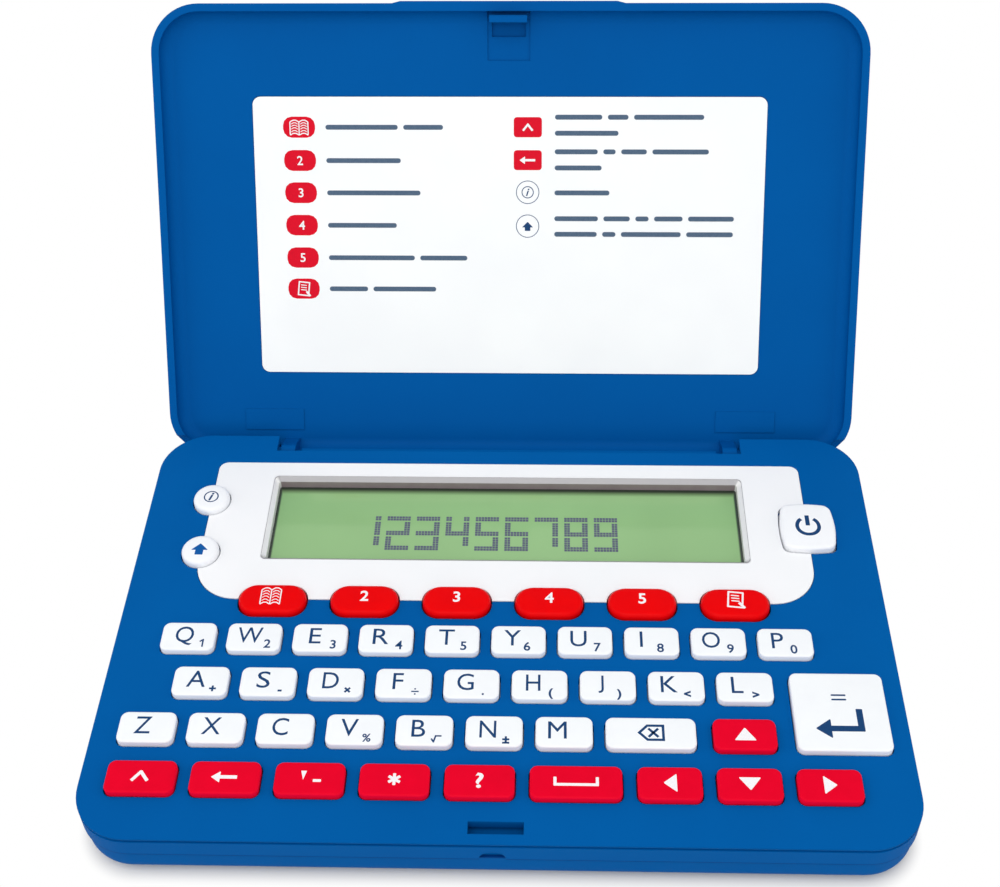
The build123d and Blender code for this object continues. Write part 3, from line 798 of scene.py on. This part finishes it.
def letterMarks(letter, x, y):
    look = marksLook["letter"]
    x *= marksLook["spread"]
    across, up = marksLook["moved"].get(letter, (0, 0))
    size = look["size"] * marksLook["small"].get(letter, 1.0)
    parts = [glyph(letter.upper(), x + look["dx"] + across, y + look["dy"] + up, size, look["weight"],
                   onLine=True, wide=marksLook["wide"].get(letter, 1.0))]
    if letter not in marksLook["seconds"]:
        return parts
    sign = marksLook["seconds"][letter]
    small = marksLook["digit" if sign.isdigit() else "sign"]
    weight = marksLook["percent"] if sign == "%" else small["weight"]
    place = (x + small["dx"] + marksLook["nudged"].get(letter, 0), y + small["dy"], small["size"])
    if sign in "1√":
        return parts + strokesOf(sign, *place)
    if sign in ".÷":
        return parts + barsOf(sign, *place)
    return parts + [glyph(sign, *place, weight, onLine=True)]


def caret(x, y, apart, width, height, lean):        # two bars that meet at the top
    return [bar(x - apart, y, width, height, -lean), bar(x + apart, y, width, height, lean)]


def keyMarks(short, x, y):        # sizes in mm
    if short in letters:
        return letterMarks(short, x, y)
    marks = {
        "up": lambda: [wedge(x, y, 3.7, 2.5)],
        "down": lambda: [wedge(x, y, 3.7, 2.4, 180)],
        "left": lambda: [wedge(x, y, 3.4, 2.2, 90)],
        "right": lambda: [wedge(x, y, 3.4, 2.2, -90)],
        "delete": lambda: [glyph("⌫", x, y, 2.9, 0.012)],
        "enter": lambda: [*arrowOf("return", x, y - 2.3, 7.4),
                          bar(x, y + 3.2, 2.5, 0.32), bar(x, y + 2.3, 2.5, 0.32)],
        "space": lambda: [bar(x, y - 0.55, 7.4, 0.5),
                          bar(x - 3.45, y + 0.1, 0.5, 1.5), bar(x + 3.45, y + 0.1, 0.5, 1.5)],
        "help": lambda: [glyph("?", x, y, 2.6, 0.02, wide=1.3)],
        "star": lambda: [bar(x, y, 0.5, 2.2, turn) for turn in (0, 60, 120)],
        "accent": lambda: [wedge(x - 1.0, y + 0.5, 0.95, 1.7, 180), bar(x + 1.3, y - 0.45, 1.35, 0.5)],
        "control": lambda: caret(x, y, 0.62, 0.55, 2.3, 38),
        "echo": lambda: arrowOf("back", x, y, 4.2),
        "function_1": lambda: bookMark(x - 0.25, y + 0.4, 3.65, 3.5),
        "function_6": lambda: pageMark(x, y + 0.5, 3.0, 3.8),
        "info": lambda: [ring(x, y, 1.44, 0.24), glyph("i", x, y, 1.95, 0.024, lean=0.3)],
        "shift": lambda: [wedge(x, y + 0.45, 3.2, 1.6), bar(x, y - 0.85, 1.5, 1.3)],
        "power": lambda: [glyph("⏻", x, y, 3.9, 0.018)],
    }
    if short in marks:
        return marks[short]()
    return [glyph(short[-1], x, y + 0.55, 2.2, 0.02)]        # the numbered function keys


def makeKeyMarks():
    for node in keyNodes:
        low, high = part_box(node)
        short = node[len("key_"):]
        parts = keyMarks(short, (low.x + high.x) / 2 / mm, (low.y + high.y) / 2 / mm)
        mark = joined(parts, node.replace("key_", "keyMark_"))
        settle(mark, Matrix.Translation((0, 0, high.z)))
        onWhite = keyColour(short).endswith("white")
        inkName = "ink bright blue" if short == "shift" else "ink blue" if onWhite else "ink white"
        mark.data.materials.clear()
        mark.data.materials.append(finishes[inkName])
        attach(mark, node)
    print("key marks made,", len(keyNodes))


# The card in the lid: pictograms and plain bars where a printed guide would be

cardLook = {        # mm from the middle of the card
    "tilt": 60,        # degrees that it stands up from level
    "leftRows": (21.7, 15.2, 8.85, 2.4, -4.1, -10.4),
    "leftPill": {"x": -41.2, "width": 6.3, "height": 4.1, "corner": 1.7},
    "leftWords": ((14.2, 7.8), (14.7,), (18.5,), (13.7,), (17.2, 9.4), (7.7, 12.6)),
    "leftText": -36.0,
    "book": (3.6, 2.7), "page": (2.4, 3.0), "number": (1.7, 0.012),
    "rightRows": (21.75, 15.35, 9.05, 2.35),
    "rightPill": {"x": 3.7, "width": 5.5, "height": 3.9, "corner": 0.6},
    "rightLines": ((23.7, (9.2, 4.0, 13.6)), (20.6, (12.4,)), (17.0, (8.4, 2.4, 5.0, 11.0)),
                   (13.85, (9.2,)), (8.95, (10.8,)), (3.85, (8.6, 5.2, 2.6, 5.6, 9.0)),
                   (0.75, (8.4, 2.6, 11.8, 9.2))),
    "rightText": 9.0,
    "caret": (0.42, 0.4, 1.7, 38), "back": 3.0,
    "ring": (2.3, 0.14), "innerRing": (1.2, 0.17), "info": (1.45, 0.02, 0.3),
    "head": (2.2, 1.1), "headUp": 0.3, "stem": (1.1, 0.8), "stemDown": 0.55,
    "gap": 1.1, "bar": 0.95, "barCorner": 0.5,
}


def onCard(parts, name, finishName, lift=0.0):
    hinge = frame["joints"][0]
    tilt = math.radians(cardLook["tilt"])
    outwards = Vector((0, -math.sin(tilt), math.cos(tilt)))
    low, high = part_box("lid_card")
    middle = (low + high) / 2
    reach = max(corner.co.dot(outwards) for corner in nodes["lid_card"].data.vertices)
    middle += outwards * (reach - middle.dot(outwards))
    thing = joined(parts, name)
    settle(thing, Matrix.Translation(middle) @ Matrix.Rotation(tilt, 4, "X") @ spot(0, 0, 0, lift))
    thing.data.materials.clear()
    thing.data.materials.append(finishes[finishName])
    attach(thing, hinge["child"])


def pill(look, y):
    return bar(look["x"], y, look["width"], look["height"], 0, look["corner"])


def wordBars(start, y, lengths):
    bars = []
    for length in lengths:
        bars.append(bar(start + length / 2, y, length, cardLook["bar"], 0, cardLook["barCorner"]))
        start += length + cardLook["gap"]
    return bars


def makeCardPrint():
    look = cardLook
    rows, left, right = look["leftRows"], look["leftPill"]["x"], look["rightPill"]["x"]
    first, second, third, fourth = look["rightRows"]
    pills = [pill(look["leftPill"], y) for y in rows]
    pills += [pill(look["rightPill"], y) for y in (first, second)]
    onCard(pills, "cardPills", "ink red")

    signs = bookMark(left, rows[0], *look["book"])
    signs += pageMark(left, rows[5], *look["page"])
    signs += [glyph(str(number), left, rows[number - 1], *look["number"]) for number in (2, 3, 4, 5)]
    signs += caret(right, first, *look["caret"])
    signs += arrowOf("back", right, second, look["back"])
    onCard(signs, "cardSigns", "ink white", inkLook["proud"])        # on the red of the pills

    rings = [ring(right, y, *look["ring"]) for y in (third, fourth)]
    rings += [ring(right, third, *look["innerRing"]), glyph("i", right, third, *look["info"])]
    rings += [wedge(right, fourth + look["headUp"], *look["head"]),
              bar(right, fourth - look["stemDown"], *look["stem"])]
    onCard(rings, "cardRings", "ink blue")

    words = []
    for y, lengths in zip(rows, look["leftWords"]):
        words += wordBars(look["leftText"], y, lengths)
    for y, lengths in look["rightLines"]:
        words += wordBars(look["rightText"], y, lengths)
    onCard(words, "cardLines", "ink grey")
    print("card printed")


# The display: plain numbers, built up of square dots

displayLook = {
    "dot": 0.5, "pitch": 0.57, "digits": "123456789", "middle": (-3.35, 21.9),
    "wide": 8, "tall": 15, "thick": 2, "gap": 2,        # dots
}
# the strokes that each number lights: top, middle and bottom, then the upper and lower ones at its
# sides, and the small corners that carry a side past a row
strokes = {"1": "UR LR cornerTR cornerMR", "2": "T UR M LL B", "3": "T UR M LR B",
           "4": "UL M UR LR cornerTL cornerTR", "5": "T UL M LR B", "6": "T UL M LL LR B",
           "7": "T UR LR cornerMR", "8": "T M B UL LL UR LR", "9": "T UL UR M LR B"}


def dotRun(columns, rows):
    dot, pitch = displayLook["dot"], displayLook["pitch"]
    bpy.ops.object.select_all(action="DESELECT")
    bpy.ops.mesh.primitive_cube_add(size=1)
    run = bpy.context.object
    settle(run, Matrix.Diagonal((dot * mm, dot * mm, inkThick * mm, 1)))
    for count, offset in ((columns, (pitch * mm, 0, 0)), (rows, (0, pitch * mm, 0))):
        array = run.modifiers.new("dots", "ARRAY")
        array.count = count
        array.use_relative_offset = False
        array.use_constant_offset = True
        array.constant_offset_displace = offset
        bpy.ops.object.modifier_apply(modifier=array.name)
    return run


def makeDisplayDigits():
    look = displayLook
    wide, tall, thick, pitch = look["wide"], look["tall"], look["thick"], look["pitch"]
    half = (tall - 3 * thick) / 2
    middleRow, topRow, rightColumn = thick + half, tall - thick, wide - thick
    corners = {"T": (0, topRow), "M": (0, middleRow), "B": (0, 0),
               "UL": (0, middleRow + thick), "UR": (rightColumn, middleRow + thick),
               "LL": (0, thick), "LR": (rightColumn, thick), "cornerTL": (0, topRow),
               "cornerTR": (rightColumn, topRow), "cornerMR": (rightColumn, middleRow)}
    kinds = {"across": dotRun(wide, thick), "upright": dotRun(thick, round(half)),
             "corner": dotRun(thick, thick)}
    parts = []
    for place, digit in enumerate(look["digits"]):
        for stroke in strokes[digit].split():
            column, row = corners[stroke]
            kind = "corner" if stroke.startswith("corner") else "across" if stroke in "TMB" else "upright"
            part = copied(kinds[kind], "stroke")
            column += place * (wide + look["gap"])
            parts.append(settle(part, spot(column * pitch, row * pitch)))
    for kind in kinds.values():
        discard(kind)
    digits = joined(parts, "displayDigits", 0)
    columns = len(look["digits"]) * (wide + look["gap"]) - look["gap"]
    corner = Vector(look["middle"]) - Vector((columns, tall)) * pitch / 2
    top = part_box("lcd_panel")[1].z / mm
    settle(digits, spot(corner.x, corner.y, 0, top + inkLift))
    digits.data.materials.clear()
    digits.data.materials.append(finishes["pixel grey"])
    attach(digits, "base")
    print("display digits made")


makeCamera()
makeLights()
makeFloor()
makeWorld()
print("camera, light and floor placed")
makeKeys()
makeScrews()
makeKeyMarks()
makeCardPrint()
makeDisplayDigits()

scene = bpy.context.scene
scene.view_settings.view_transform = "Standard"
